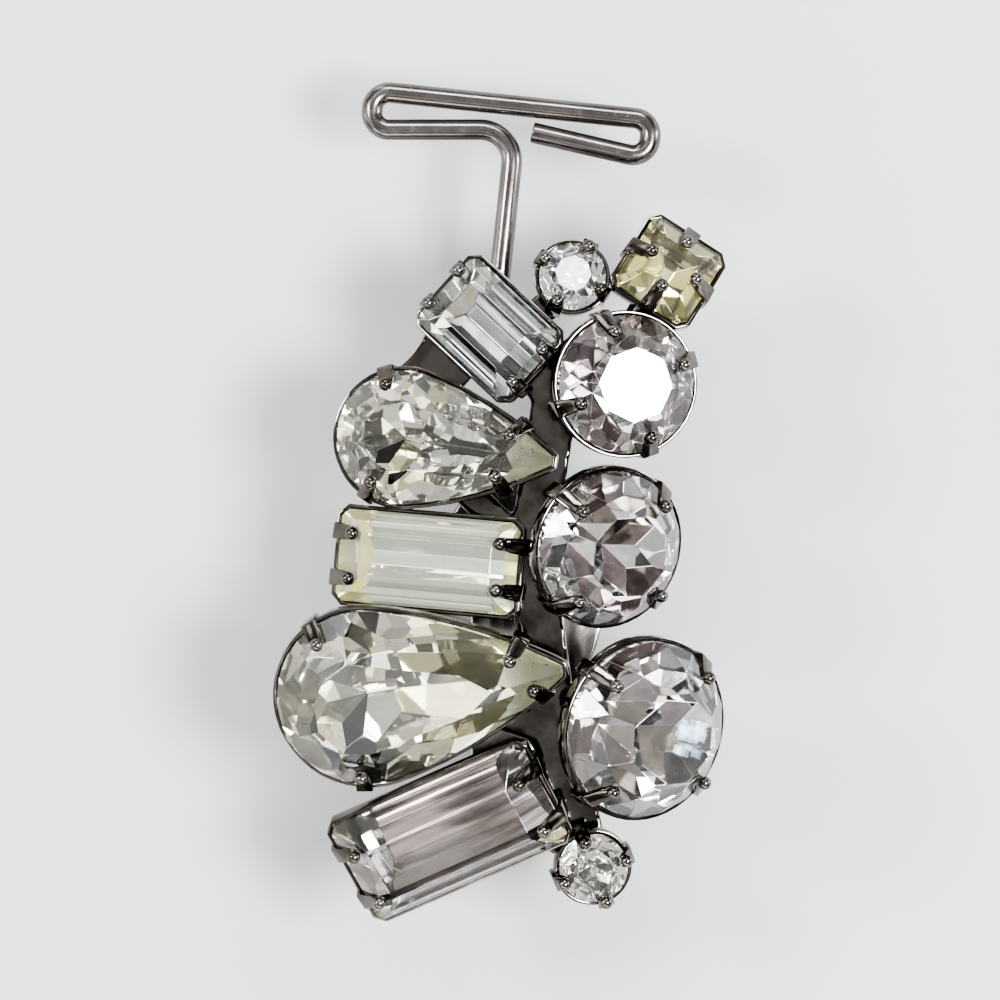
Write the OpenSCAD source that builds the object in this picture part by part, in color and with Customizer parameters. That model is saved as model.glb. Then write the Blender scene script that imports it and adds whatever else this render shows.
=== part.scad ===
// Clip-on climber earring: foil-backed cut glass in prong cups on a soldered
// frame, with a bent wire wing at the top and a spring clip behind.
// The stones face up (+Z), the wing points to +Y, and the clip's paddle lies
// flat on Z = 0 with its middle at the origin.

/* [Round stones] */
// Diameter of the top round stone
round_top_d = 6.4; // [5.8:0.1:7]
// Diameter of the middle round stone
round_middle_d = 7.2; // [6.6:0.1:7.8]
// Diameter of the bottom round stone
round_bottom_d = 8.2; // [7.6:0.1:8.8]
// Diameter of the small round stone at the top
small_top_d = 3.1; // [2.7:0.1:3.5]
// Diameter of the small round stone at the bottom
small_bottom_d = 3.2; // [2.8:0.1:3.6]

/* [Square stone] */
// Side of the square stone
square_side = 3.9; // [3.5:0.1:4.3]

/* [Baguette stones] */
// Length of the top baguette
baguette_top_l = 5.8; // [5.2:0.1:6.4]
// Width of the top baguette
baguette_top_w = 4.1; // [3.7:0.1:4.5]
// Length of the middle baguette
baguette_middle_l = 8.4; // [7.6:0.1:9.2]
// Width of the middle baguette
baguette_middle_w = 4.3; // [3.9:0.1:4.7]
// Length of the bottom baguette
baguette_bottom_l = 9.9; // [9:0.1:10.8]
// Width of the bottom baguette
baguette_bottom_w = 5.3; // [4.9:0.1:5.6]

/* [Pear stones] */
// Length of the top pear
pear_top_l = 10.4; // [9.6:0.1:11]
// Width of the top pear
pear_top_w = 6.2; // [5.8:0.1:6.6]
// Length of the bottom pear
pear_bottom_l = 13.6; // [12.8:0.1:14.2]
// Width of the bottom pear
pear_bottom_w = 8.2; // [7.6:0.1:8.6]

/* [Cut of the stones] */
// Height of the straight girdle band
girdle_h = 0.3; // [0.2:0.05:0.5]
// Slope of the main crown facets
crown_slope = 48; // [40:1:50]
// Slope of the break facets beside the girdle
break_slope = 54; // [52:1:60]
// Slope of the pavilion facets
pavilion_slope = 40; // [34:1:44]
// Slope of the crown facets on the ends of a baguette
end_slope = 42; // [36:1:50]

/* [Settings] */
// Clearance between a stone and the metal round it
seat_gap = 0.06; // [0.04:0.01:0.1]
// Thickness of a cup's wall
cup_wall = 0.16; // [0.12:0.02:0.26]
// Height of the straight rim band of a cup
rim_h = 0.6; // [0.4:0.05:0.8]
// Thickness of a cup's floor
floor_t = 0.4; // [0.3:0.05:0.6]
// Width of a prong where it leaves the rim
prong_w = 0.8; // [0.6:0.05:1]
// Width of a prong at its tip
prong_tip_w = 0.4; // [0.3:0.05:0.55]
// Thickness of a prong
prong_t = 0.32; // [0.25:0.01:0.4]
// Length of a prong along the crown, on a large stone
prong_reach = 1.5; // [1.1:0.05:1.8]
// Length of a prong along the crown, on a small round or the top baguette
small_prong_reach = 0.7; // [0.5:0.05:0.9]
// Diameter of the bead that ends a prong
bead_d = 0.52; // [0.4:0.02:0.6]

/* [Spacing] */
// Free space between the stones of the round column
column_gap = 0.82; // [0.66:0.02:1.1]
// Free space round the two small stones
small_gap = 0.85; // [0.7:0.05:1.1]
// Free space between the square stone and its neighbour
square_gap = 0.5; // [0.4:0.05:0.8]
// Free space between the rows of the long stones
row_gap = 0.62; // [0.54:0.02:0.9]
// Free space between a long stone's end and the round column
end_gap = 0.6; // [0.5:0.05:1]

/* [Frame] */
// Width of the backbone strap
strap_w = 2.2; // [1.8:0.1:2.6]
// Thickness of the backbone strap and its ribs
strap_t = 0.8; // [0.6:0.1:1.1]
// Width of the ribs that carry the cups
rib_w = 1.4; // [1.1:0.1:1.8]
// Clear height of the posts under the cups
post_h = 0.3; // [0.2:0.05:0.8]
// Distance from the top pear's head to the middle of the web's hollow edge
web_l = 6.9; // [6.3:0.1:7.5]
// Radius of the web's hollow edge
web_r = 3.8; // [3.4:0.1:4.2]

/* [Wing wire] */
// Diameter of the wing wire
wire_d = 1; // [0.8:0.05:1.2]
// Length of the stem that carries the wing
stem_l = 7.5; // [6.8:0.1:8.2]
// Length of the short bar on the left
left_bar_l = 4.3; // [3.6:0.1:5]
// Length of the long outer bar
outer_bar_l = 11.6; // [10.4:0.1:12.8]
// Length of the short bar on the right
right_bar_l = 4.7; // [4:0.1:5]
// Radius of the bend between the stem and the bar
stem_bend_r = 1.5; // [1.2:0.1:1.8]
// Radius of the wire's end loops
loop_r = 0.8; // [0.68:0.02:0.92]
// Backward slope of the wing
wing_slope = 4; // [0:0.5:8]

/* [Clip] */
// Length of the paddle
paddle_l = 12; // [11:0.2:13]
// Width of the paddle
paddle_w = 8.4; // [7.6:0.2:9.2]
// Thickness of the paddle, the arm and the base plate
clip_t = 0.8; // [0.7:0.05:1]
// Width of the arm and the base plate
clip_w = 4.4; // [3.8:0.2:5.4]
// Room for the ear lobe between paddle and base plate
lobe_gap = 4.6; // [4.4:0.1:5.4]
// Length of the base plate under the backbone
base_l = 8; // [7:0.2:9]
// Distance from the paddle's middle to the arm's bend
bend_y = 7; // [6.4:0.1:7.6]
// Clearance between the base plate and the backbone
clip_gap = 0.05; // [0.03:0.01:0.1]

/* [Hidden] */
$fn = 48;

// Colours
metal = [0.55, 0.54, 0.53];
clear_glass = [0.86, 0.88, 0.88];
pale_yellow_glass = [0.86, 0.87, 0.74];
olive_glass = [0.78, 0.77, 0.5];
milky_glass = [0.8, 0.85, 0.72];

function toward(bearing, reach) = reach * [cos(bearing), sin(bearing)];

// The middle round stone is placed from the paddle, and every other stone
// from a neighbour, by a bearing and the two stones' own sizes.
middle_at = [4.22, 2.45];
round_top_at = middle_at + toward(84, (round_middle_d + round_top_d) / 2 + column_gap);
round_bottom_at = middle_at + toward(-78.7, (round_middle_d + round_bottom_d) / 2 + column_gap);
small_top_at = round_top_at + toward(116, (round_top_d + small_top_d) / 2 + small_gap);
small_bottom_at = round_bottom_at + toward(250.2, (round_bottom_d + small_bottom_d) / 2 + 1.5 * small_gap);
square_at = round_top_at + toward(69, (round_top_d + square_side) / 2 + square_gap);
baguette_middle_at = middle_at
    + toward(184.5, (round_middle_d + baguette_middle_l) / 2 + end_gap);
baguette_top_at = round_top_at
    + toward(157.6, (round_top_d + baguette_top_l) / 2 + 1.25 * end_gap);
pear_top_at = baguette_middle_at
    + toward(101, (baguette_middle_w + pear_top_w) / 2 + row_gap);
pear_bottom_at = baguette_middle_at
    + toward(245.5, (baguette_middle_w + pear_bottom_w) / 2 + row_gap);
baguette_bottom_at = pear_bottom_at
    + toward(301.5, (pear_bottom_w + baguette_bottom_w) / 2 + row_gap);

// One row for each stone. turn is the bearing of its long axis or of its first
// prong, lean is how far it faces away from +Z, and way is where to. A pear is
// placed by the middle of its round head, and its row ends with the bearings of
// its two head prongs and the distances of its two tip prongs from the tip, as
// shares of the flat beside the tip.
SHAPE = 0;
LENGTH = 1;
WIDTH = 2;
AT = 3;
TURN = 4;
LEAN = 5;
WAY = 6;
HEAD_PRONGS = 7;
TIP_PRONGS = 8;
round_top = ["round", round_top_d, round_top_d, round_top_at, 20, 13, -11];
round_middle = ["round", round_middle_d, round_middle_d, middle_at, 45, 29, -24];
round_bottom = ["round", round_bottom_d, round_bottom_d, round_bottom_at, 46, 32, -18];
small_top = ["round", small_top_d, small_top_d, small_top_at, 60, 8, 80];
small_bottom = ["round", small_bottom_d, small_bottom_d, small_bottom_at, 20, 14, -60];
square = ["square", square_side, square_side, square_at, 57.5, 16, 50];
baguette_top = ["baguette", baguette_top_l, baguette_top_w, baguette_top_at, 137, 15, 156];
baguette_middle = ["baguette", baguette_middle_l, baguette_middle_w, baguette_middle_at, 175, 8, 175];
baguette_bottom = ["baguette", baguette_bottom_l, baguette_bottom_w, baguette_bottom_at, 206, 22, 268];
pear_top = ["pear", pear_top_l, pear_top_w, pear_top_at, 171, 8, 171, [66, 66], [1.27, 1.54]];
pear_bottom = [
    "pear", pear_bottom_l, pear_bottom_w, pear_bottom_at, 188.6, 13, 250, [62, 80], [1.1, 0.68]
];
left_seats = [baguette_top, pear_top, baguette_middle, pear_bottom, baguette_bottom];
right_seats = [small_top, square, round_top, round_middle, round_bottom, small_bottom];

function half(s) = s[WIDTH] / 2;

// Profile of a cut: where the second side step of a long stone starts, as a
// share of its half width, and the slopes of the steps
side_step = 0.22;
upper_side_slope = 32;
keel_step = 0.35;
lower_side_slope = 56;
keel_slope = 32;
lower_end_slope = 50;
corner_slope = 38;
corner_cut = 0.25;
table_share = 0.51;
culet_share = 0.85;
girdle_top = girdle_h / 2;

function crown_h(s) =
    s[SHAPE] == "baguette"
    ? half(s) * (side_step * tan(break_slope) + (1 - table_share - side_step) * tan(upper_side_slope))
    : (1 - table_share) * half(s) * tan(s[SHAPE] == "square" ? end_slope : crown_slope);
function pavilion_h(s) =
    s[SHAPE] == "baguette"
    ? half(s) * (keel_step * tan(lower_side_slope) + (culet_share - keel_step) * tan(keel_slope))
    : culet_share * half(s) * tan(pavilion_slope);

// A pear's flanks are arcs that leave the round head at flank_from and meet at
// the tip, which is tip_x from the head's middle
flank_from = 104;
blunt_tip = 0.3;
function tip_x(s) = s[LENGTH] - half(s);
function flank_r(s) =
    (pow(tip_x(s), 2) + 2 * tip_x(s) * half(s) * cos(flank_from) + pow(half(s), 2))
    / (2 * (tip_x(s) * cos(flank_from) + half(s)));
function tip_bearing(s) = atan2(
    (flank_r(s) - half(s)) * sin(flank_from),
    (flank_r(s) - half(s)) * cos(flank_from) - tip_x(s)
);
// Length of the flat beside the tip, up to the next break facet
function tip_flat(s) = flank_r(s) * tan((tip_bearing(s) - flank_from) / 4);

// Distance from the middle of a stone to the flat that touches its outline
function pear_reach(s, a) =
    a <= flank_from ? half(s)
    : a > 179 ? tip_x(s) - blunt_tip
    : flank_r(s) - (flank_r(s) - half(s)) * cos(a - flank_from);
function box_reach(s, a) =
    abs(cos(a)) > 0.9 ? s[LENGTH] / 2
    : abs(sin(a)) > 0.9 ? half(s)
    : (s[LENGTH] / 2 + half(s)) * cos(45) - corner_cut;
function reach(s, a) =
    s[SHAPE] == "round" ? half(s)
    : s[SHAPE] == "pear" ? pear_reach(s, abs(a))
    : box_reach(s, a);

// Bearings of the main facets, and of the break facets between them. A main
// facet of a pear lies under each head prong.
function head_prong(s, side) = s[HEAD_PRONGS][side < 0 ? 0 : 1];
function tip_prong(s, side) = s[TIP_PRONGS][side < 0 ? 0 : 1];
function mains(s) =
    s[SHAPE] == "round" ? [for (k = [0:7]) 45 * k]
    : s[SHAPE] == "pear"
    ? concat([0], [for (e = [-1, 1], a = [
        head_prong(s, e) / 2, head_prong(s, e), flank_from, tip_bearing(s)
    ]) e * a])
    : [0, 90, 180, 270];
function breaks(s) =
    s[SHAPE] == "round" ? [for (k = [0:7]) 45 * k + 22.5]
    : s[SHAPE] == "pear"
    ? [for (e = [-1, 1], a = [
        head_prong(s, e) / 4, head_prong(s, e) * 3 / 4,
        (head_prong(s, e) + flank_from) / 2, (flank_from + tip_bearing(s)) / 2
    ]) e * a]
    : [45, 135, 225, 315];

// Outline of a stone, grown by a clearance: the corner between each two flats
function ascending(list) =
    len(list) == 0 ? []
    : let (low = min(list)) concat([low], ascending([for (v = list) if (v > low) v]));
function flats(s) = ascending(concat(mains(s), breaks(s), s[SHAPE] == "pear" ? [180] : []));
function corner(a, ra, b, rb) =
    [ra * sin(b) - rb * sin(a), rb * cos(a) - ra * cos(b)] / sin(b - a);
function outline(s, grow = 0) =
    let (f = flats(s), n = len(f))
    [for (k = [0:n - 1]) let (a = f[k], b = f[(k + 1) % n])
        corner(a, reach(s, a) + grow, b, reach(s, b) + grow)];

// Facets of a cut as rows of bearing, reach, level and slope; a slope over 90
// lies under the girdle
function crown_facets(s) =
    s[SHAPE] == "baguette"
    ? concat(
        [for (a = [0, 180]) [a, reach(s, a), girdle_top, end_slope]],
        [for (a = [90, 270]) [a, half(s), girdle_top, break_slope]],
        [for (a = [90, 270]) [
            a, half(s) * (1 - side_step),
            girdle_top + half(s) * side_step * tan(break_slope), upper_side_slope
        ]]
    )
    : s[SHAPE] == "square"
    ? concat(
        [for (a = mains(s)) [a, half(s), girdle_top, end_slope]],
        [for (a = breaks(s)) [a, reach(s, a), girdle_top, corner_slope]]
    )
    : concat(
        [for (a = mains(s)) [a, reach(s, a), girdle_top, crown_slope]],
        [for (a = breaks(s)) [a, reach(s, a), girdle_top, break_slope]]
    );
function pavilion_facets(s) =
    s[SHAPE] == "baguette"
    ? concat(
        [for (a = [0, 180]) [a, reach(s, a), -girdle_top, 180 - lower_end_slope]],
        [for (a = [90, 270]) [a, half(s), -girdle_top, 180 - lower_side_slope]],
        [for (a = [90, 270]) [
            a, half(s) * (1 - keel_step),
            -girdle_top - half(s) * keel_step * tan(lower_side_slope), 180 - keel_slope
        ]]
    )
    : concat(
        [for (a = mains(s)) [a, reach(s, a), -girdle_top, 180 - pavilion_slope]],
        [for (a = breaks(s)) [a, reach(s, a), -girdle_top, 180 - pavilion_slope - 8]]
    );

// Prongs of a setting as rows of bearing and place on the stone's edge
function prongs(s) =
    s[SHAPE] == "pear"
    ? concat(
        [for (e = [-1, 1]) [e * head_prong(s, e), toward(e * head_prong(s, e), half(s))]],
        [for (e = [-1, 1]) [
            e * tip_bearing(s),
            [-tip_x(s), 0] + toward(e * (tip_bearing(s) - 90), tip_prong(s, e) * tip_flat(s))
        ]]
    )
    : s[SHAPE] == "baguette"
    ? [for (a = [0, 180], e = [-1, 1]) [a, [cos(a) * s[LENGTH] / 2, e * half(s) / 2]]]
    : [for (a = [0, 90, 180, 270]) [a, toward(a, half(s))]];
function prong_slope(s) =
    s[SHAPE] == "baguette" || s[SHAPE] == "square" ? end_slope : crown_slope;
function has_short_prongs(s) = half(s) < 1.8 || s == baguette_top;

// Heights, from the table up
base_z = clip_t + lobe_gap;
strap_z = base_z + clip_t + clip_gap;
strap_top = strap_z + strap_t;
foot_share = 0.55;
seat_clearance = 0.25;
function cup_h(s) = girdle_top + pavilion_h(s) + seat_clearance;
function seat_z(s) = strap_top + post_h + (cup_h(s) + floor_t) * cos(s[LEAN])
    + foot_share * half(s) * sin(s[LEAN]);
function drop(s) = (seat_z(s) - strap_z - strap_t / 2) / cos(s[LEAN]);
function foot_scale(s) =
    s[SHAPE] == "pear" ? foot_share
    : [1 - (1 - foot_share) * s[WIDTH] / s[LENGTH], foot_share];
function foot_at(s) = s[AT] - toward(s[WAY], drop(s) * sin(s[LEAN]));

// Backbone knots beside the round stones, and the root of the wing
function knot(s) = s[AT] + toward(186, half(s));
spine = [
    foot_at(baguette_top), knot(round_top), knot(round_middle), knot(round_bottom),
    foot_at(small_bottom)
];
wing_root = baguette_top_at + toward(57, 0.5);

// The hollow edge of the web between the top baguette and the top pear
web_at = pear_top_at + toward(111.6, web_l);
wing_heading = 84;
loop_flat = 0.16;
wing_path = [
    [stem_l, 96, stem_bend_r],
    [left_bar_l, -93, loop_r], [loop_flat, -93, loop_r],
    [outer_bar_l, -93.5, loop_r], [loop_flat, -93.5, loop_r],
    [right_bar_l, 0, loop_r]
];

// Puts what it holds at a stone's place, girdle down the middle
module seated(s) {
    translate([s[AT][0], s[AT][1], seat_z(s)]) rotate([0, 0, s[WAY]]) rotate([0, s[LEAN], 0])
        rotate([0, 0, s[TURN] - s[WAY]])
            children();
}

// Everything on the inner side of one facet
module inside(s, facet) {
    far = 4 * s[LENGTH];
    rotate([0, 0, facet[0]]) translate([facet[1], 0, facet[2]]) rotate([0, facet[3], 0])
        translate([-far / 2, -far / 2, -far])
            cube(far);
}

module cut_stone(s, shade) {
    depth = girdle_top + pavilion_h(s);
    color(shade) seated(s) intersection() {
        translate([0, 0, -depth]) linear_extrude(depth + girdle_top + crown_h(s)) polygon(outline(s));
        intersection_for (f = crown_facets(s)) inside(s, f);
        intersection_for (f = pavilion_facets(s)) inside(s, f);
    }
}

// A round cup is turned, the others are drawn in towards the foot
module round_cup(s) {
    inner = half(s) / cos(11.25) + seat_gap;
    outer = inner + cup_wall;
    rotate_extrude() polygon([
        [inner, 0], [outer, 0], [outer, -rim_h],
        [outer * foot_share, -cup_h(s) - floor_t], [0, -cup_h(s) - floor_t],
        [0, -cup_h(s)], [inner * foot_share, -cup_h(s)], [inner, -rim_h]
    ]);
}

module drawn(s, grow, height) {
    mirror([0, 0, 1]) linear_extrude(rim_h) polygon(outline(s, grow));
    translate([0, 0, -rim_h]) mirror([0, 0, 1])
        linear_extrude(height - rim_h, scale = foot_scale(s), slices = 1) polygon(outline(s, grow));
}

module drawn_cup(s) {
    difference() {
        drawn(s, seat_gap + cup_wall, cup_h(s) + floor_t);
        drawn(s, seat_gap, cup_h(s));
    }
}

// A flat strip that stands up from the rim, bends over the girdle and lies
// along the crown, with a bead at its end
module prong(s) {
    slope = prong_slope(s);
    along = has_short_prongs(s) ? small_prong_reach : prong_reach;
    outer = seat_gap + prong_t;
    spare = 0.1;
    up = [sin(slope), cos(slope)];
    in = [-cos(slope), sin(slope)];
    edge = [0, girdle_top];
    tip = edge + seat_gap * up + along * in;
    bend = tan(45 - slope / 2);
    bead = edge + (seat_gap + bead_d / 2) * up + (along - 0.3 * bead_d) * in;
    intersection() {
        rotate([90, 0, 0]) linear_extrude(2 * prong_w, center = true) polygon([
            [seat_gap, -rim_h], [seat_gap, girdle_top + seat_gap * bend], tip,
            tip + prong_t * up, [outer, girdle_top + outer * bend], [outer, -rim_h]
        ]);
        translate([0, 0, -2 * rim_h]) linear_extrude(4 * (rim_h + along)) polygon([
            [outer + spare, -prong_w / 2], [outer + spare, prong_w / 2],
            [tip[0] - spare, prong_tip_w / 2], [tip[0] - spare, -prong_tip_w / 2]
        ]);
    }
    translate([bead[0], 0, bead[1]]) sphere(d = bead_d);
}

module setting(s) {
    if (s[SHAPE] == "round")
        round_cup(s);
    else
        drawn_cup(s);
    for (p = prongs(s))
        translate([p[1][0], p[1][1], 0]) rotate([0, 0, p[0]]) prong(s);
    post_r = min(rib_w * 0.6, foot_share * half(s));
    translate([0, 0, -drop(s)]) cylinder(r = post_r, h = drop(s) - cup_h(s) - floor_t / 2);
}

// A flat bar between two places, with a blob of solder at each end
module bar(from, to, width) {
    way = to - from;
    translate(from) rotate(atan2(way[1], way[0])) translate([0, -width / 2]) square([norm(way), width]);
    translate(from) circle(d = 1.15 * width);
    translate(to) circle(d = 1.15 * width);
}

module backbone() {
    translate([0, 0, strap_z]) linear_extrude(strap_t) {
        for (k = [0:len(spine) - 2])
            bar(spine[k], spine[k + 1], strap_w);
        bar(foot_at(pear_top), knot(round_middle), rib_w);
        bar(foot_at(baguette_middle), knot(round_middle), rib_w);
        bar(foot_at(pear_bottom), knot(round_bottom), rib_w);
        bar(foot_at(baguette_bottom), foot_at(small_bottom), rib_w);
        bar(foot_at(small_top), foot_at(baguette_top), rib_w);
        bar(foot_at(square), foot_at(round_top), rib_w);
        bar(foot_at(round_top), knot(round_top), rib_w);
        bar(foot_at(round_middle), knot(round_middle), rib_w);
        bar(foot_at(round_bottom), knot(round_bottom), rib_w);
        polygon(concat(
            [for (a = [-64:8:-16]) web_at + toward(a, web_r)],
            [foot_at(baguette_top), foot_at(pear_top)]
        ));
    }
}

// Straight runs of wire with a bend after each one. A step is the run's length,
// and the turn and radius of the bend that follows.
module wire(path, k = 0) {
    step = path[k];
    side = sign(step[1]);
    rotate([0, 90, 0]) cylinder(d = wire_d, h = step[0]);
    if (side != 0)
        translate([step[0], side * step[2], 0]) {
            mirror([0, side < 0 ? 1 : 0, 0])
                rotate([0, 0, -90]) rotate_extrude(angle = abs(step[1]))
                    translate([step[2], 0]) circle(d = wire_d);
            rotate([0, 0, step[1]]) translate([0, -side * step[2], 0]) wire(path, k + 1);
        }
}

module wing() {
    translate([wing_root[0], wing_root[1], strap_z + strap_t / 2])
        rotate([-wing_slope, 0, 0]) rotate([0, 0, wing_heading])
            wire(wing_path);
}

module setting_frame() {
    color(metal) union() {
        for (s = left_seats)
            seated(s) setting(s);
        for (s = right_seats)
            seated(s) setting(s);
        backbone();
        wing();
    }
}

// One bent strip: the paddle on the table, a round bend, and the base plate
module clip_back() {
    bend_r = lobe_gap / 2 + clip_t;
    color(metal) {
        linear_extrude(clip_t)
            polygon([for (a = [0:7.5:359]) [paddle_w / 2 * cos(a), paddle_l / 2 * sin(a)]]);
        translate([-clip_w / 2, -bend_y, 0]) cube([clip_w, bend_y, clip_t]);
        translate([-clip_w / 2, -bend_y, base_z]) cube([clip_w, base_l, clip_t]);
        translate([-clip_w / 2, -bend_y, bend_r]) rotate([0, 90, 0]) rotate([0, 0, 180])
            rotate_extrude(angle = 180) translate([lobe_gap / 2, 0]) square([clip_t, clip_w]);
    }
}

module stone_round_top() { cut_stone(round_top, clear_glass); }
module stone_round_middle() { cut_stone(round_middle, clear_glass); }
module stone_round_bottom() { cut_stone(round_bottom, clear_glass); }
module stone_small_top() { cut_stone(small_top, clear_glass); }
module stone_small_bottom() { cut_stone(small_bottom, clear_glass); }
module stone_square() { cut_stone(square, olive_glass); }
module stone_baguette_top() { cut_stone(baguette_top, clear_glass); }
module stone_baguette_middle() { cut_stone(baguette_middle, milky_glass); }
module stone_baguette_bottom() { cut_stone(baguette_bottom, clear_glass); }
module stone_pear_top() { cut_stone(pear_top, pale_yellow_glass); }
module stone_pear_bottom() { cut_stone(pear_bottom, pale_yellow_glass); }

setting_frame();
clip_back();
stone_round_top();
stone_round_middle();
stone_round_bottom();
stone_small_top();
stone_small_bottom();
stone_square();
stone_baguette_top();
stone_baguette_middle();
stone_baguette_bottom();
stone_pear_top();
stone_pear_bottom();
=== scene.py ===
import bpy
import bmesh
import math
import random
from collections import namedtuple
from mathutils import Matrix, Vector


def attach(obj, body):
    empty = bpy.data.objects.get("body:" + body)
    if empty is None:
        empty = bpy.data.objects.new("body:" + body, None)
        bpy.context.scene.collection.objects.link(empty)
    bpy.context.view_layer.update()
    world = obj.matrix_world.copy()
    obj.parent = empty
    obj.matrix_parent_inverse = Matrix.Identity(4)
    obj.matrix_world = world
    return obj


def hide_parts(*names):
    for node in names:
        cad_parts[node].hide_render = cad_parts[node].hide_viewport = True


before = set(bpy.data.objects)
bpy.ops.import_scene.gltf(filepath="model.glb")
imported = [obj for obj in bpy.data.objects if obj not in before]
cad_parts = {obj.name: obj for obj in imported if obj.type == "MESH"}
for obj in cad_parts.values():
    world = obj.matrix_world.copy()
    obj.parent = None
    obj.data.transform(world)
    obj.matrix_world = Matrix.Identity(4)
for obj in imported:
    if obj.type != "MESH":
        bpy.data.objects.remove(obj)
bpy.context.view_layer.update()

# Everything is modelled in millimetres at the origin and put in its place,
# in metres, by place().
mm = 0.001


def sin(degrees):
    return math.sin(math.radians(degrees))


def cos(degrees):
    return math.cos(math.radians(degrees))


def tan(degrees):
    return math.tan(math.radians(degrees))


def toward(bearing, reach):
    return Vector((cos(bearing), sin(bearing), 0)) * reach


def turned(degrees, axis):
    return Matrix.Rotation(math.radians(degrees), 4, axis)


def startFresh():
    if bpy.context.object and bpy.context.object.mode == "EDIT":
        bpy.ops.object.mode_set(mode="OBJECT")
    bpy.ops.object.select_all(action="DESELECT")


def pickFaces(ob, wanted):
    bpy.ops.mesh.select_mode(type="FACE")
    bpy.ops.mesh.select_all(action="DESELECT")
    mesh = bmesh.from_edit_mesh(ob.data)
    for face in mesh.faces:
        if wanted(face):
            face.select_set(True)
    bmesh.update_edit_mesh(ob.data)


def facesUp(face):
    return face.normal.z > 0.9


def facesDown(face):
    return face.normal.z < -0.9


def extrude(step):
    bpy.ops.mesh.extrude_region_move(TRANSFORM_OT_translate={"value": step})


def leaveEditMode(mergeDistance=0):
    bpy.ops.mesh.select_all(action="SELECT")
    if mergeDistance:
        bpy.ops.mesh.remove_doubles(threshold=mergeDistance)
    bpy.ops.mesh.normals_make_consistent(inside=False)
    bpy.ops.object.mode_set(mode="OBJECT")


def named(ob, name):
    ob.name = name
    ob.data.name = name


def place(ob, matrix):
    startFresh()
    ob.select_set(True)
    bpy.context.view_layer.objects.active = ob
    ob.data.transform(matrix)
    ob.data.transform(Matrix.Scale(mm, 4))
    ob.data.update()


def bevelled(ob, width, segments, angle):
    bevel = ob.modifiers.new("edges", "BEVEL")
    bevel.width = width
    bevel.segments = segments
    bevel.limit_method = "ANGLE"
    bevel.angle_limit = math.radians(angle)
    bpy.context.view_layer.objects.active = ob
    bpy.ops.object.modifier_apply(modifier=bevel.name)


def joined(parts, name):
    startFresh()
    for part in parts:
        part.select_set(True)
    bpy.context.view_layer.objects.active = parts[0]
    if len(parts) > 1:
        bpy.ops.object.join()
    named(parts[0], name)
    return parts[0]


def smoothed(ob, angle):
    startFresh()
    ob.select_set(True)
    bpy.context.view_layer.objects.active = ob
    bpy.ops.object.shade_smooth_by_angle(angle=math.radians(angle))


# Materials
def newMaterial(name, base, metallic, roughness, ior=1.5, transmission=0.0):
    material = bpy.data.materials.new(name)
    material.use_nodes = True
    shader = material.node_tree.nodes["Principled BSDF"]
    shader.inputs["Base Color"].default_value = (*base, 1)
    shader.inputs["Metallic"].default_value = metallic
    shader.inputs["Roughness"].default_value = roughness
    shader.inputs["IOR"].default_value = ior
    shader.inputs["Transmission Weight"].default_value = transmission
    return material


# Mottling: a broad noise on object coordinates mixes two colours, and a finer
# one gives a value between two numbers and the height of small bumps
mottlingNoise = {
    "broadDetail": 4, "fineDetail": 6, "broadRange": (0.35, 0.7), "fineRange": (0.3, 0.7),
}


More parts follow.
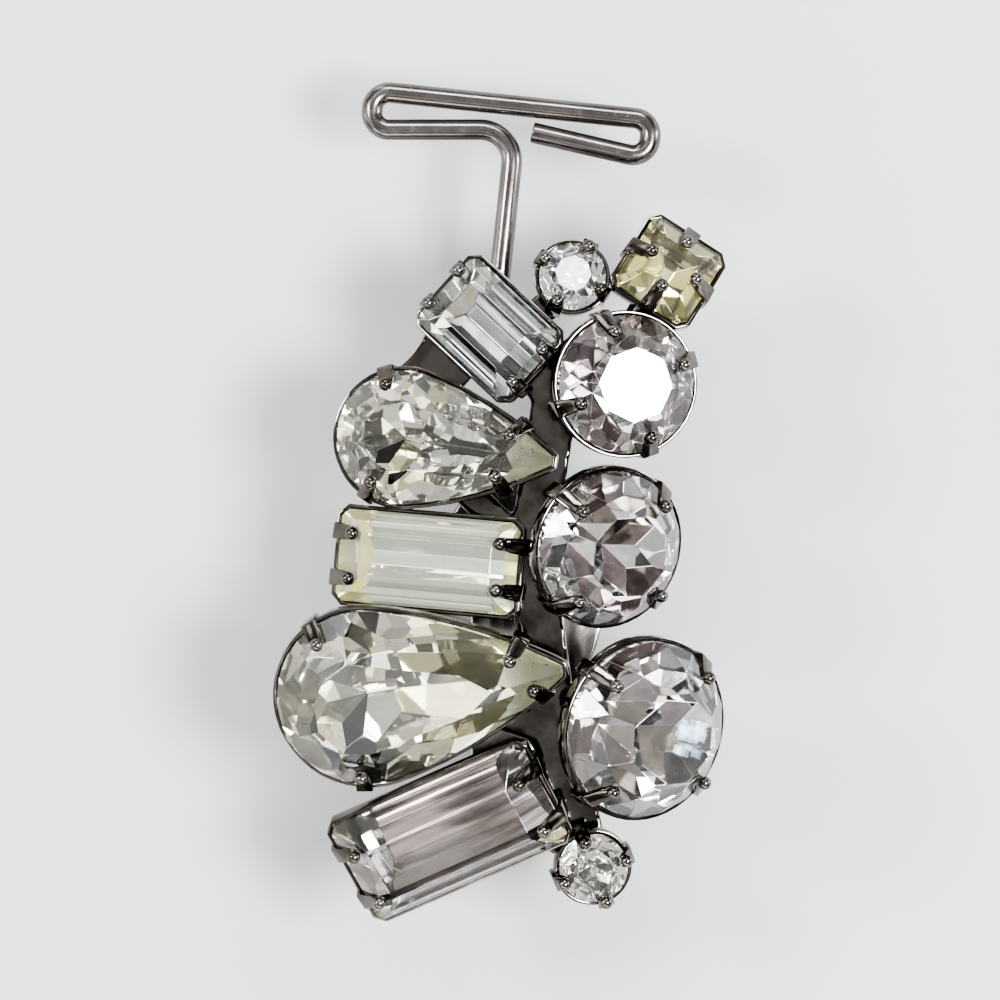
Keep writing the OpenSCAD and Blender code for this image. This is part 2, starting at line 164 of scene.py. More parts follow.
def mottlingGroup():
    group = bpy.data.node_groups.new("mottling", "ShaderNodeTree")
    face = group.interface
    for name, kind in [
        ("Turn", "NodeSocketFloat"), ("Stretch", "NodeSocketVector"), ("Scale", "NodeSocketFloat"),
        ("Fine Scale", "NodeSocketFloat"), ("Color A", "NodeSocketColor"), ("Color B", "NodeSocketColor"),
        ("Share of B", "NodeSocketFloat"), ("Low", "NodeSocketFloat"), ("High", "NodeSocketFloat"),
        ("Height", "NodeSocketFloat"),
    ]:
        face.new_socket(name=name, in_out="INPUT", socket_type=kind)
    face.new_socket(name="Color", in_out="OUTPUT", socket_type="NodeSocketColor")
    face.new_socket(name="Value", in_out="OUTPUT", socket_type="NodeSocketFloat")
    face.new_socket(name="Normal", in_out="OUTPUT", socket_type="NodeSocketVector")
    nodes, links = group.nodes, group.links
    given = nodes.new("NodeGroupInput")
    out = nodes.new("NodeGroupOutput")
    coords = nodes.new("ShaderNodeTexCoord")
    turn = nodes.new("ShaderNodeVectorRotate")
    turn.rotation_type = "Z_AXIS"
    links.new(coords.outputs["Object"], turn.inputs["Vector"])
    links.new(given.outputs["Turn"], turn.inputs["Angle"])
    stretch = nodes.new("ShaderNodeVectorMath")
    stretch.operation = "MULTIPLY"
    links.new(turn.outputs["Vector"], stretch.inputs[0])
    links.new(given.outputs["Stretch"], stretch.inputs[1])
    broad = nodes.new("ShaderNodeTexNoise")
    broad.inputs["Detail"].default_value = mottlingNoise["broadDetail"]
    fine = nodes.new("ShaderNodeTexNoise")
    fine.inputs["Detail"].default_value = mottlingNoise["fineDetail"]
    links.new(stretch.outputs[0], broad.inputs["Vector"])
    links.new(stretch.outputs[0], fine.inputs["Vector"])
    links.new(given.outputs["Scale"], broad.inputs["Scale"])
    links.new(given.outputs["Fine Scale"], fine.inputs["Scale"])
    share = nodes.new("ShaderNodeMapRange")
    share.interpolation_type = "SMOOTHSTEP"
    share.inputs["From Min"].default_value = mottlingNoise["broadRange"][0]
    share.inputs["From Max"].default_value = mottlingNoise["broadRange"][1]
    links.new(broad.outputs["Fac"], share.inputs["Value"])
    links.new(given.outputs["Share of B"], share.inputs["To Max"])
    mix = nodes.new("ShaderNodeMix")
    mix.data_type = "RGBA"
    links.new(share.outputs[0], mix.inputs["Factor"])
    links.new(given.outputs["Color A"], mix.inputs["A"])
    links.new(given.outputs["Color B"], mix.inputs["B"])
    spread = nodes.new("ShaderNodeMapRange")
    spread.inputs["From Min"].default_value = mottlingNoise["fineRange"][0]
    spread.inputs["From Max"].default_value = mottlingNoise["fineRange"][1]
    links.new(fine.outputs["Fac"], spread.inputs["Value"])
    links.new(given.outputs["Low"], spread.inputs["To Min"])
    links.new(given.outputs["High"], spread.inputs["To Max"])
    bump = nodes.new("ShaderNodeBump")
    bump.inputs["Strength"].default_value = 1.0
    links.new(fine.outputs["Fac"], bump.inputs["Height"])
    links.new(given.outputs["Height"], bump.inputs["Distance"])
    links.new(mix.outputs["Result"], out.inputs["Color"])
    links.new(spread.outputs[0], out.inputs["Value"])
    links.new(bump.outputs["Normal"], out.inputs["Normal"])
    return group


mottling = mottlingGroup()


def mottled(material, colorA, colorB, share, scale, fineScale, low, high, height,
            stretch=(1, 1, 1), turn=0):
    tree = material.node_tree
    shader = tree.nodes["Principled BSDF"]
    node = tree.nodes.new("ShaderNodeGroup")
    node.node_tree = mottling
    node.inputs["Turn"].default_value = math.radians(-turn)
    node.inputs["Stretch"].default_value = stretch
    node.inputs["Scale"].default_value = scale
    node.inputs["Fine Scale"].default_value = fineScale
    node.inputs["Color A"].default_value = (*colorA, 1)
    node.inputs["Color B"].default_value = (*colorB, 1)
    node.inputs["Share of B"].default_value = share
    node.inputs["Low"].default_value = low
    node.inputs["High"].default_value = high
    node.inputs["Height"].default_value = height
    tree.links.new(node.outputs["Color"], shader.inputs["Base Color"])
    tree.links.new(node.outputs["Value"], shader.inputs["Roughness"])
    tree.links.new(node.outputs["Normal"], shader.inputs["Normal"])
    return material


# Metals: polished plating with patches of a darker tarnish. The frame's and
# the wire's colours are far darker than the plating's own: painted shade, as if
# the metal mirrored dark surroundings. The roughness runs from low to high
metalLooks = {
    "frame_metal": {
        "colorA": (0.18, 0.17, 0.158), "colorB": (0.065, 0.055, 0.043), "share": 0.85, "scale": 700,
        "fineScale": 4000, "low": 0.03, "high": 0.1, "height": 0.000003,
    },
    "wire_metal": {
        "colorA": (0.2, 0.19, 0.185), "colorB": (0.12, 0.105, 0.09), "share": 0.6, "scale": 450,
        "fineScale": 2500, "low": 0.18, "high": 0.28, "height": 0.000003,
    },
    "clip_metal": {
        "colorA": (0.42, 0.41, 0.39), "colorB": (0.3, 0.285, 0.26), "share": 0.6, "scale": 300,
        "fineScale": 2000, "low": 0.12, "high": 0.24, "height": 0.000004, "stretch": (1, 0.3, 1),
    },
}
metals = {}
for name, look in metalLooks.items():
    metals[name] = mottled(newMaterial(name, look["colorA"], 1.0, look["high"]), **look)

# Glasses: material, colour, roughness, index of refraction and transmission
glassLooks = {
    "clear": ("clear_glass", (0.985, 0.985, 0.98), 0.0, 1.56, 1.0),
    "paleYellow": ("pale_yellow_glass", (0.98, 0.98, 0.9), 0.0, 1.56, 1.0),
    "olive": ("olive_glass", (0.97, 0.96, 0.76), 0.0, 1.56, 1.0),
    "milky": ("milky_glass", (0.98, 1.0, 0.93), 0.03, 1.5, 0.86),
}
glasses = {}
for glass, (name, color, roughness, ior, transmission) in glassLooks.items():
    glasses[glass] = newMaterial(name, color, 0.0, roughness, ior, transmission)

# Foils: two colours, a roughness, and for a long stone the bearing of its
# lengthwise streaks. The grey and dark foils are painted shade and painted
# reflection for facets that mirror dark surroundings. Plum and taupe are partly
# the old foil's tarnish and partly such painted shade. The streaks are painted
# reflections of a long stone's steps
foilSurface = {
    "metallic": 0.93, "share": 0.8, "scale": 900, "fineScale": 3500, "roughnessSpread": 0.03,
    "height": 0.000001, "streakStretch": (0.1, 1.4, 1),
}
foils = {
    "silver": ((0.98, 0.98, 0.97), (0.9, 0.9, 0.88), 0.01, None),
    "grey": ((0.62, 0.62, 0.63), (0.45, 0.45, 0.46), 0.02, None),
    "cream": ((0.97, 0.97, 0.87), (0.92, 0.91, 0.76), 0.02, None),
    "straw": ((0.95, 0.93, 0.7), (0.88, 0.85, 0.56), 0.04, None),
    "lemon": ((0.98, 0.93, 0.45), (0.93, 0.86, 0.32), 0.16, None),
    "satin": ((0.98, 0.97, 0.82), (0.92, 0.92, 0.68), 0.27, None),
    "plum": ((0.36, 0.305, 0.305), (0.22, 0.185, 0.18), 0.07, None),
    "taupe": ((0.5, 0.465, 0.43), (0.36, 0.33, 0.3), 0.07, None),
    "dark": ((0.1, 0.1, 0.105), (0.055, 0.052, 0.05), 0.05, None),
    "milk streaks": ((1.0, 1.0, 0.93), (0.66, 0.74, 0.63), 0.14, 175),
    "clear streaks": ((0.9, 0.91, 0.93), (0.28, 0.3, 0.33), 0.07, 137),
    "brown streaks": ((1.0, 0.96, 0.92), (0.12, 0.07, 0.05), 0.06, 206),
    "plum streaks": ((0.95, 0.88, 0.88), (0.0, 0.0, 0.0), 0.05, 206),
}
foilMaterials = {}
for name, (colorA, colorB, roughness, streaks) in foils.items():
    foilMaterials[name] = mottled(
        newMaterial("foil_" + name.replace(" ", "_"), colorA, foilSurface["metallic"], roughness),
        colorA, colorB, foilSurface["share"], foilSurface["scale"], foilSurface["fineScale"],
        roughness, roughness + foilSurface["roughnessSpread"], foilSurface["height"],
        (1, 1, 1) if streaks is None else foilSurface["streakStretch"], streaks or 0)
print("materials made")

# The cut of the stones, as in the part's source
cut = {
    "girdle": 0.3, "crownSlope": 48, "breakSlope": 54, "pavilionSlope": 40, "endSlope": 42,
    "sideStep": 0.22, "upperSideSlope": 32,
    "steps": [(0, 0.17, 60), (0.17, 0.34, 50), (0.34, 0.6, 37), (0.6, 0.85, 27)],
    "lowerEndSlope": 50, "cornerSlope": 38, "cornerCut": 0.25, "tableShare": 0.51, "culetShare": 0.85,
    "flankFrom": 104, "bluntTip": 0.3, "edgeBevel": 0.022, "tierShare": 0.5, "tierSlope": 31,
    "underBreakSlope": 48, "blankSize": 1.5, "bisectThreshold": 0.0001, "mergeDistance": 0.002,
}
girdleTop = cut["girdle"] / 2

# One row for each stone. Its middle is the girdle's, and it leans by some
# degrees towards the bearing "way"
stoneRow = namedtuple("stoneRow", "shape length width middle turn lean way")
stones = {
    "baguette_top": stoneRow("baguette", 5.8, 4.1, (-1.317, 12.639, 10.061), 137, 15, 156),
    "pear_top": stoneRow("pear", 10.4, 6.2, (-5.274, 7.553, 10.569), 171, 8, 171),
    "baguette_middle": stoneRow("baguette", 8.4, 4.3, (-4.154, 1.791, 10.077), 175, 8, 175),
    "pear_bottom": stoneRow("pear", 13.6, 8.2, (-7.003, -4.460, 11.486), 188.6, 13, 250),
    "baguette_bottom": stoneRow("baguette", 9.9, 5.3, (-3.152, -10.744, 10.680), 206, 22, 268),
    "small_top": stoneRow("round", 3.1, 3.1, (2.562, 15.062, 9.356), 60, 8, 80),
    "square": stoneRow("square", 3.9, 3.9, (7.041, 15.303, 9.752), 57.5, 16, 50),
    "round_top": stoneRow("round", 6.4, 6.4, (5.017, 10.028, 10.749), 20, 13, -11),
    "round_middle": stoneRow("round", 7.2, 7.2, (4.220, 2.450, 11.255), 45, 29, -24),
    "round_bottom": stoneRow("round", 8.2, 8.2, (5.889, -5.905, 11.703), 46, 32, -18),
    "small_bottom": stoneRow("round", 3.2, 3.2, (3.527, -12.468, 9.446), 20, 14, -60),
}
glassOf = {
    "baguette_top": "clear", "pear_top": "paleYellow", "baguette_middle": "milky",
    "pear_bottom": "paleYellow", "baguette_bottom": "clear", "small_top": "clear", "square": "olive",
    "round_top": "clear", "round_middle": "clear", "round_bottom": "clear", "small_bottom": "clear",
}
# Foil behind the pavilion facets in their order, repeated: a pear's mains,
# breaks and inner tier, a long stone's ends and then its steps. Each facet's
# shade is set to paint the light or dark patch that the facet shows: painted
# reflection
foilOf = {
    "baguette_top": [
        "silver", "cream", "silver", "grey", "clear streaks", "silver", "silver", "clear streaks",
        "dark", "clear streaks",
    ],
    "pear_top": [
        "cream", "silver", "silver", "silver", "cream", "silver", "silver", "satin", "satin",
        "silver", "cream", "silver", "silver", "cream", "cream", "silver", "silver",
        "cream", "silver", "silver", "dark", "silver", "straw", "silver", "silver",
    ],
    "baguette_middle": [
        "lemon", "lemon", "straw", "cream", "cream", "milk streaks", "milk streaks", "silver",
        "cream", "milk streaks",
    ],
    "pear_bottom": [
        "cream", "silver", "cream", "dark", "dark", "silver", "cream", "satin", "satin",
        "grey", "cream", "silver", "cream", "silver", "cream", "silver", "cream",
        "silver", "cream", "silver", "dark", "cream", "silver", "silver", "straw",
    ],
    "baguette_bottom": [
        "silver", "silver", "straw", "silver", "dark", "plum", "brown streaks", "silver",
        "brown streaks", "plum streaks",
    ],
    "small_top": ["silver"],
    "square": ["cream", "straw"],
    "round_top": ["silver", "taupe", "plum", "plum", "grey", "plum", "silver", "grey"],
    "round_middle": [
        "silver", "plum", "grey", "silver", "silver", "grey", "plum", "silver",
        "grey", "cream", "dark", "grey", "plum", "silver", "taupe", "silver",
        "plum", "silver", "silver", "dark", "grey", "plum", "silver", "taupe",
    ],
    "round_bottom": [
        "grey", "plum", "silver", "dark", "cream", "silver", "grey", "grey",
        "silver", "plum", "silver", "grey", "silver", "taupe", "cream", "plum",
        "silver", "dark", "grey", "plum", "grey", "taupe", "taupe", "grey",
    ],
    "small_bottom": ["silver", "silver", "silver", "cream"],
}
# A pear's head prongs stand at these bearings from its axis, and its tip prongs
# at these shares of the flat beside the tip
headProngs = {"pear_top": (66, 66), "pear_bottom": (62, 80)}
tipProngs = {"pear_top": (1.27, 1.54), "pear_bottom": (1.1, 0.68)}


def half(stone):
    return stone.width / 2


def tipX(stone):
    return stone.length - half(stone)


def flankRadius(stone):
    reach, share, head = tipX(stone), cos(cut["flankFrom"]), half(stone)
    return (reach ** 2 + 2 * reach * head * share + head ** 2) / (2 * (reach * share + head))


def tipBearing(stone):
    lever = flankRadius(stone) - half(stone)
    middle = toward(cut["flankFrom"], lever)
    return math.degrees(math.atan2(middle.y, middle.x - tipX(stone)))


def tipFlat(stone):
    return flankRadius(stone) * tan((tipBearing(stone) - cut["flankFrom"]) / 4)


# How far the girdle's flat at a bearing stands from the middle. A long or a
# square stone has ends, sides and cut corners.
def reachOf(stone, bearing):
    shape, a = stone.shape, abs((bearing + 180) % 360 - 180)
    if shape == "round":
        return half(stone)
    if shape == "pear":
        if a <= cut["flankFrom"]:
            return half(stone)
        if a == 180:
            return tipX(stone) - cut["bluntTip"]
        radius = flankRadius(stone)
        return radius - (radius - half(stone)) * cos(a - cut["flankFrom"])
    if a in (0, 180):
        return stone.length / 2
    if a == 90:
        return half(stone)
    return (stone.length / 2 + half(stone)) * cos(45) - cut["cornerCut"]


def bothSides(bearings):
    return [side * a for a in bearings for side in (-1, 1)]


def mainBearings(name):
    stone = stones[name]
    if stone.shape == "round":
        return [45 * k for k in range(8)]
    if stone.shape == "pear":
        upper, lower = headProngs[name]
        tip = tipBearing(stone)
        return [0, -upper / 2, lower / 2, -upper, lower, -cut["flankFrom"], cut["flankFrom"], -tip, tip]
    return [0, 90, 180, 270]


def breakBearings(name):
    stone = stones[name]
    if stone.shape == "round":
        return [45 * k + 22.5 for k in range(8)]
    if stone.shape == "pear":
        upper, lower = headProngs[name]
        flank, tip = cut["flankFrom"], tipBearing(stone)
        return [-upper / 4, lower / 4, -upper * 0.75, lower * 0.75, -(upper + flank) / 2,
                (lower + flank) / 2, -(flank + tip) / 2, (flank + tip) / 2]
    return [45, 135, 225, 315]


def crownHeight(stone):
    if stone.shape == "baguette":
        share = cut["sideStep"]
        return half(stone) * (share * tan(cut["breakSlope"])
                              + (1 - cut["tableShare"] - share) * tan(cut["upperSideSlope"]))
    slope = cut["endSlope"] if stone.shape == "square" else cut["crownSlope"]
    return (1 - cut["tableShare"]) * half(stone) * tan(slope)


def pavilionHeight(stone):
    if stone.shape == "baguette":
        return half(stone) * sum((end - start) * tan(slope) for start, end, slope in cut["steps"])
    return cut["culetShare"] * half(stone) * tan(cut["pavilionSlope"])


def crownFacets(name):
    stone = stones[name]
    mains, breaks = mainBearings(name), breakBearings(name)
    if stone.shape == "baguette":
        step = cut["sideStep"]
        return ([(a, stone.length / 2, girdleTop, cut["endSlope"]) for a in (0, 180)]
                + [(a, half(stone), girdleTop, cut["breakSlope"]) for a in (90, 270)]
                + [(a, half(stone) * (1 - step), girdleTop + half(stone) * step * tan(cut["breakSlope"]),
                    cut["upperSideSlope"]) for a in (90, 270)])
    if stone.shape == "square":
        return ([(a, half(stone), girdleTop, cut["endSlope"]) for a in mains]
                + [(a, reachOf(stone, a), girdleTop, cut["cornerSlope"]) for a in breaks])
    return ([(a, reachOf(stone, a), girdleTop, cut["crownSlope"]) for a in mains]
            + [(a, reachOf(stone, a), girdleTop, cut["breakSlope"]) for a in breaks])


def pavilionFacets(name):
    stone = stones[name]
    if stone.shape == "baguette":
        facets = [(a, stone.length / 2, -girdleTop, 180 - cut["lowerEndSlope"]) for a in (0, 180)]
        level = -girdleTop
        for start, end, slope in cut["steps"]:
            facets += [(a, half(stone) * (1 - start), level, 180 - slope) for a in (90, 270)]
            level -= half(stone) * (end - start) * tan(slope)
        return facets
    mains, breaks, share = mainBearings(name), breakBearings(name), cut["tierShare"]
    return ([(a, reachOf(stone, a), -girdleTop, 180 - cut["pavilionSlope"]) for a in mains]
            + [(a, reachOf(stone, a), -girdleTop, 180 - cut["underBreakSlope"]) for a in breaks]
            + [(a, reachOf(stone, a) * (1 - share), -girdleTop - reachOf(stone, a) * share * tan(
                cut["pavilionSlope"]), 180 - cut["tierSlope"]) for a in breaks])


def outlineBearings(name):
    stone = stones[name]
    if stone.shape == "round":
        return [7.5 * k for k in range(48)]
    if stone.shape == "pear":
        tip = tipBearing(stone)
        head = [8 * k for k in range(14)]
        flank = [cut["flankFrom"] + (tip - cut["flankFrom"]) * k / 6 for k in range(1, 7)]
        return [0, 180] + bothSides(head[1:] + flank)
    return mainBearings(name) + breakBearings(name)


def seatMatrix(stone):
    return (Matrix.Translation(stone.middle) @ turned(stone.way, "Z") @ turned(stone.lean, "Y")
            @ turned(stone.turn - stone.way, "Z"))


def cutAway(bearing, reach, level, slope):
    normal = turned(bearing, "Z").to_3x3() @ Vector((sin(slope), 0, cos(slope)))
    point = toward(bearing, reach) + Vector((0, 0, level))
    bpy.ops.mesh.select_all(action="SELECT")
    bpy.ops.mesh.bisect(plane_co=point, plane_no=normal, use_fill=True, clear_outer=True,
                        threshold=cut["bisectThreshold"])


def blank(name, grow, top, bottom):
    stone = stones[name]
    startFresh()
    bpy.ops.mesh.primitive_cube_add(size=2)
    ob = bpy.context.object
    size = cut["blankSize"] * stone.length
    for vertex in ob.data.vertices:
        vertex.co = (vertex.co.x * size, vertex.co.y * size, top if vertex.co.z > 0 else bottom)
    bpy.ops.object.mode_set(mode="EDIT")
    for bearing in outlineBearings(name):
        cutAway(bearing, reachOf(stone, bearing) + grow, 0, 90)
    return ob


def makeStone(name):
    stone = stones[name]
    ob = blank(name, 0.0, girdleTop + crownHeight(stone), -girdleTop - pavilionHeight(stone))
    slots = ["glass"] + sorted(set(foilOf[name]))
    ob.data.materials.append(glasses[glassOf[name]])
    for foil in slots[1:]:
        ob.data.materials.append(foilMaterials[foil])
    for facet in crownFacets(name):
        cutAway(*facet)
    shades = foilOf[name]
    pickFaces(ob, facesDown)
    ob.active_material_index = slots.index(shades[-1])
    bpy.ops.object.material_slot_assign()
    for k, facet in enumerate(pavilionFacets(name)):
        cutAway(*facet)
        ob.active_material_index = slots.index(shades[k % len(shades)])
        bpy.ops.object.material_slot_assign()
    leaveEditMode(cut["mergeDistance"])
    bevelled(ob, cut["edgeBevel"], 1, 3)
    named(ob, "cut_" + name)
    place(ob, seatMatrix(stone))
    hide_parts("stone_" + name)
    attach(ob, "root")


for name in stones:
    makeStone(name)
print("stones cut")

# Cups, prongs and beads
setting = {
    "gap": 0.06, "wall": 0.16, "rim": 0.6, "floor": 0.4, "footShare": 0.55, "seatClearance": 0.25,
    "prongWidth": 0.8, "midTaper": 0.86, "tipWidth": 0.42, "prongThick": 0.3, "prongFoot": 1.0,
    "bendInside": 0.05, "reach": 1.5, "shortReach": 0.7, "midShare": 0.5, "tipShare": 0.42,
    "smallStone": 1.8, "bead": 0.64, "beadSink": 0.3, "twist": 5, "rimBevel": 0.045, "prongBevel": 0.08,
    "smoothAngle": 32,
}


def cupHeight(stone):
    return girdleTop + pavilionHeight(stone) + setting["seatClearance"]


def footScale(stone):
    share = setting["footShare"]
    if stone.shape == "pear":
        return share, share
    return 1 - (1 - share) * stone.width / stone.length, share


def makeCup(name):
    stone = stones[name]
    rim, deep = setting["rim"], cupHeight(stone)
    sx, sy = footScale(stone)
    ob = blank(name, setting["gap"] + setting["wall"], 0, -rim)
    pickFaces(ob, facesDown)
    extrude((0, 0, rim - deep - setting["floor"]))
    bpy.ops.transform.resize(value=(sx, sy, 1), center_override=(0, 0, 0))
    pickFaces(ob, facesUp)
    bpy.ops.mesh.inset(thickness=setting["wall"], depth=0)
    extrude((0, 0, -rim))
    extrude((0, 0, rim - deep))
    bpy.ops.transform.resize(value=(sx, sy, 1), center_override=(0, 0, 0))
    leaveEditMode()
    bevelled(ob, setting["rimBevel"], 2, 40)
    return ob


def prongPlaces(name):
    stone = stones[name]
    if stone.shape == "pear":
        upper, lower = headProngs[name]
        places = [(a, toward(a, half(stone))) for a in (-upper, lower)]
        for side, along in zip((-1, 1), tipProngs[name]):
            a = side * tipBearing(stone)
            tip = Vector((-tipX(stone), 0, 0))
            places.append((a, tip + toward(a - side * 90, along * tipFlat(stone))))
        return places
    if stone.shape == "baguette":
        return [(a, Vector((cos(a) * stone.length / 2, side * half(stone) / 2, 0)))
                for a in (0, 180) for side in (-1, 1)]
    return [(a, toward(a, half(stone))) for a in (0, 90, 180, 270)]


def makeProng(slope, reach):
    gap, foot, bead = setting["gap"], setting["prongFoot"], setting["bead"]
    startFresh()
    bpy.ops.mesh.primitive_plane_add(size=1)
    ob = bpy.context.object
    for vertex in ob.data.vertices:
        across = gap + setting["prongThick"] * (vertex.co.x + 0.5)
        vertex.co = (across, vertex.co.y * setting["prongWidth"], -foot)
    bpy.ops.object.mode_set(mode="EDIT")
    bpy.ops.mesh.select_all(action="SELECT")
    inside = setting["bendInside"]
    extrude((0, 0, foot + girdleTop - inside))
    pivot = (gap - inside, 0, girdleTop - inside)
    bpy.ops.mesh.spin(steps=5, angle=math.radians(90 - slope), center=pivot, axis=(0, 1, 0))
    inward = Vector((-cos(slope), 0, sin(slope)))
    extrude(inward * reach * setting["midShare"])
    bpy.ops.transform.resize(value=(1, setting["midTaper"], 1))
    extrude(inward * reach * setting["tipShare"])
    tipTaper = setting["tipWidth"] / setting["prongWidth"] / setting["midTaper"]
    bpy.ops.transform.resize(value=(1, tipTaper, 1))
    leaveEditMode()
    bevelled(ob, setting["prongBevel"], 2, 40)
    outward = Vector((sin(slope), 0, cos(slope)))
    along = inward * (reach - setting["beadSink"] * bead)
    middle = Vector((0, 0, girdleTop)) + outward * (gap + bead / 2) + along
    bpy.ops.mesh.primitive_uv_sphere_add(segments=24, ring_count=14, radius=bead / 2, location=middle)
    ball = bpy.context.object
    ball.data.transform(Matrix.Translation(middle))
    ball.location = (0, 0, 0)
    return joined([ob, ball], "prong")


random.seed(7)
prongKinds = {}
for slope in (cut["crownSlope"], cut["endSlope"]):
    for reach in (setting["reach"], setting["shortReach"]):
        prongKinds[slope, reach] = makeProng(slope, reach)


def makeSetting(name):
    stone = stones[name]
    parts = [makeCup(name)]
    slope = cut["endSlope"] if stone.shape in ("baguette", "square") else cut["crownSlope"]
    short = half(stone) < setting["smallStone"] or name == "baguette_top"
    reach = setting["shortReach"] if short else setting["reach"]
    for bearing, at in prongPlaces(name):
        prong = prongKinds[slope, reach].copy()
        prong.data = prong.data.copy()
        bpy.context.collection.objects.link(prong)
        twist = random.uniform(-setting["twist"], setting["twist"])
        prong.data.transform(Matrix.Translation(at) @ turned(bearing + twist, "Z"))
        parts.append(prong)
    ob = joined(parts, "setting_" + name)
    ob.data.materials.append(metals["frame_metal"])
    place(ob, seatMatrix(stone))
    smoothed(ob, setting["smoothAngle"])
    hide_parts("setting_frame")
    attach(ob, "root")


for name in stones:
    makeSetting(name)
for prong in prongKinds.values():
    bpy.data.objects.remove(prong)
print("settings made")

# Backbone: straps, ribs and posts run together with solder
back = {
    "strapWidth": 2.2, "strapThick": 0.8, "ribWidth": 1.4, "level": 6.25, "knotBearing": 186,
    "discShare": 0.575, "postShare": 0.6, "web": (-7.814, 13.969), "webRadius": 3.8,
    "webBearings": [-64, -56, -48, -40, -32, -24, -16], "voxel": 0.13, "softening": 0.5,
}


def dropOf(stone):
    return (stone.middle[2] - back["level"] - back["strapThick"] / 2) / cos(stone.lean)


def footAt(name):
    stone = stones[name]
    return Vector((stone.middle[0], stone.middle[1], 0)) - toward(
        stone.way, dropOf(stone) * sin(stone.lean))


def knotAt(name):
    stone = stones[name]
    return Vector((stone.middle[0], stone.middle[1], 0)) + toward(back["knotBearing"], half(stone))


def bar(start, end, width):
    way = end - start
    middle = (start + end) / 2 + Vector((0, 0, back["level"] + back["strapThick"] / 2))
    bpy.ops.mesh.primitive_cube_add(size=1)
    ob = bpy.context.object
    ob.data.transform(
        Matrix.Translation(middle) @ Matrix.Rotation(math.atan2(way.y, way.x), 4, "Z")
        @ Matrix.Diagonal((way.length, width, back["strapThick"], 1)))
    made = [ob]
    for at in (start, end):
        bpy.ops.mesh.primitive_cylinder_add(
            vertices=32, radius=back["discShare"] * width, depth=back["strapThick"])
        disc = bpy.context.object
        disc.data.transform(Matrix.Translation((at.x, at.y, middle.z)))
        made.append(disc)
    return made


def makeBackbone():
    startFresh()
    parts = []
    spine = [
        footAt("baguette_top"), knotAt("round_top"), knotAt("round_middle"), knotAt("round_bottom"),
        footAt("small_bottom"),
    ]
    for start, end in zip(spine, spine[1:]):
        parts += bar(start, end, back["strapWidth"])
    ribs = [
        (footAt("pear_top"), knotAt("round_middle")),
        (footAt("baguette_middle"), knotAt("round_middle")),
        (footAt("pear_bottom"), knotAt("round_bottom")),
        (footAt("baguette_bottom"), footAt("small_bottom")),
        (footAt("small_top"), footAt("baguette_top")),
        (footAt("square"), footAt("round_top")),
        (footAt("round_top"), knotAt("round_top")),
        (footAt("round_middle"), knotAt("round_middle")),
        (footAt("round_bottom"), knotAt("round_bottom")),
    ]
    for start, end in ribs:
        parts += bar(start, end, back["ribWidth"])
    for name, stone in stones.items():
        radius = min(back["ribWidth"] * back["postShare"], setting["footShare"] * half(stone))
        drop = dropOf(stone)
        tall = drop - cupHeight(stone) - setting["floor"] / 2
        bpy.ops.mesh.primitive_cylinder_add(vertices=32, radius=radius, depth=tall)
        post = bpy.context.object
        post.data.transform(seatMatrix(stone) @ Matrix.Translation((0, 0, tall / 2 - drop)))
        parts.append(post)
    corners = [Vector((*back["web"], 0)) + toward(a, back["webRadius"]) for a in back["webBearings"]]
    corners += [footAt("baguette_top"), footAt("pear_top")]
    bpy.ops.mesh.primitive_circle_add(vertices=len(corners), radius=1, fill_type="NGON")
    web = bpy.context.object
    for vertex, corner in zip(web.data.vertices, corners):
        vertex.co = (corner.x, corner.y, back["level"])
    bpy.ops.object.mode_set(mode="EDIT")
    bpy.ops.mesh.select_all(action="SELECT")
    extrude((0, 0, back["strapThick"]))
    leaveEditMode()
    parts.append(web)
    ob = joined(parts, "backbone")
    remesh = ob.modifiers.new("solder", "REMESH")
    remesh.mode = "VOXEL"
    remesh.voxel_size = back["voxel"]
    soften = ob.modifiers.new("soften", "SMOOTH")
    soften.iterations = 3
    soften.factor = back["softening"]
    for modifier in ("solder", "soften"):
        bpy.ops.object.modifier_apply(modifier=modifier)
    ob.data.materials.append(metals["frame_metal"])
    place(ob, Matrix.Identity(4))
    bpy.ops.object.shade_smooth()
    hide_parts("setting_frame")
    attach(ob, "root")


makeBackbone()
print("backbone made")

# The wing: one bent wire, as steps of length, turn and radius of the bend
wing = {
    "wire": 1.0, "root": (-1.044, 13.058, 6.65), "heading": 84, "slope": 4, "sides": 24,
    "path": [
        (7.5, 96, 1.5), (4.3, -93, 0.8), (0.16, -93, 0.8), (11.6, -93.5, 0.8), (0.16, -93.5, 0.8),
        (4.7, 0, 0),
    ],
    "stepDegrees": 8, "endBevel": 0.07, "mergeDistance": 0.001, "smoothAngle": 40,
}


def makeWing():
    startFresh()
    bpy.ops.mesh.primitive_circle_add(vertices=wing["sides"], radius=wing["wire"] / 2, fill_type="NGON")
    ob = bpy.context.object
    ob.data.transform(turned(90, "Y"))
    bpy.ops.object.mode_set(mode="EDIT")
    bpy.ops.mesh.select_all(action="SELECT")
    at, heading = Vector((0, 0, 0)), 0
    for length, turn, radius in wing["path"]:
        run = toward(heading, length)
        extrude(run)
        at = at + run
        if turn:
            side = 1 if turn > 0 else -1
            pivot = at + toward(heading + 90 * side, radius)
            bpy.ops.mesh.spin(steps=round(abs(turn) / wing["stepDegrees"]), angle=-math.radians(turn),
                              center=pivot, axis=(0, 0, 1))
            at = pivot + toward(heading + turn - 90 * side, radius)
            heading += turn
    leaveEditMode(wing["mergeDistance"])
    bevelled(ob, wing["endBevel"], 3, 60)
    named(ob, "wing_wire")
    ob.data.materials.append(metals["wire_metal"])
    place(ob, Matrix.Translation(wing["root"]) @ turned(-wing["slope"], "X")
          @ turned(wing["heading"], "Z"))
    smoothed(ob, wing["smoothAngle"])
    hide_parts("setting_frame")
    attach(ob, "root")


makeWing()
print("wing bent")

